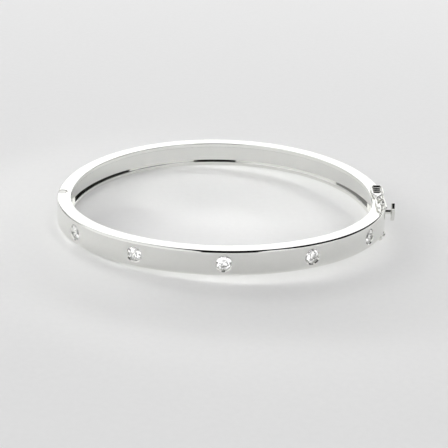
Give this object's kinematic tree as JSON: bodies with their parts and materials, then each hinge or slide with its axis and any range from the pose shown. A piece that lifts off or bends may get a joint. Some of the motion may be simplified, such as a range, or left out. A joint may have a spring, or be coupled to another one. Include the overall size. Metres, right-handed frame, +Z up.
{
  "type": "hinged bangle bracelet",
  "caption": "Oval hinged bangle of polished white metal with flush-set round brilliants, a push-tab tongue clasp and figure-eight safety catches.",
  "frame": {"origin": "middle of the wrist opening's widest line, at half the band's height", "axes": "+X points at the clasp, +Y at the plain back half, -Y at the stones, +Z up through the wrist opening"},
  "size_m": [0.0657, 0.056, 0.0082],
  "materials": {
    "polished_band": "mirror-polished white metal plating",
    "inner_skin": "polished white metal, set between the lips",
    "stone": "colourless brilliant-cut stone",
    "fittings": "polished white metal wire and tube",
    "spring_metal": "satin spring-hard white metal"
  },
  "bodies": {
    "back_half": {"back_shell": "polished_band", "back_liner": "inner_skin", "hinge_leaf_back": "fittings", "clasp_box": "spring_metal", "upper_catch_tube": "fittings", "lower_catch_tube": "fittings"},
    "front_half": {"front_shell": "polished_band", "front_liner": "inner_skin", "hinge_leaf_front": "fittings", "hinge_pin": "spring_metal", "stone_far_left": "stone", "stone_left": "stone", "stone_centre": "stone", "stone_right": "stone", "stone_far_right": "stone", "tongue_block": "spring_metal", "tongue": "spring_metal", "upper_catch_stud": "fittings", "lower_catch_stud": "fittings"},
    "thumb_press": {"spring_leaf": "spring_metal", "thumb_tab": "fittings"},
    "upper_safety": {"upper_catch": "fittings"},
    "lower_safety": {"lower_catch": "fittings"}
  },
  "joints": [
    {"name": "band_hinge", "type": "hinge", "parent": "back_half", "child": "front_half", "pos_m": [-0.03103, 0.001, 0], "axis": [0, 0, -1], "range_deg": [0, 50]},
    {"name": "thumb_tab_press", "type": "hinge", "parent": "front_half", "child": "thumb_press", "pos_m": [0.03048, 0.0032, 0], "axis": [0, 0, -1], "range_deg": [0, 4], "stiffness_Nm_per_rad": 0.2},
    {"name": "upper_catch_swing", "type": "hinge", "parent": "back_half", "child": "upper_safety", "pos_m": [0.03065, 0.0046, 0.00287], "axis": [-1, 0, 0], "range_deg": [0, 165]},
    {"name": "lower_catch_swing", "type": "hinge", "parent": "back_half", "child": "lower_safety", "pos_m": [0.03065, 0.0046, -0.00287], "axis": [1, 0, 0], "range_deg": [0, 165]}
  ]
}
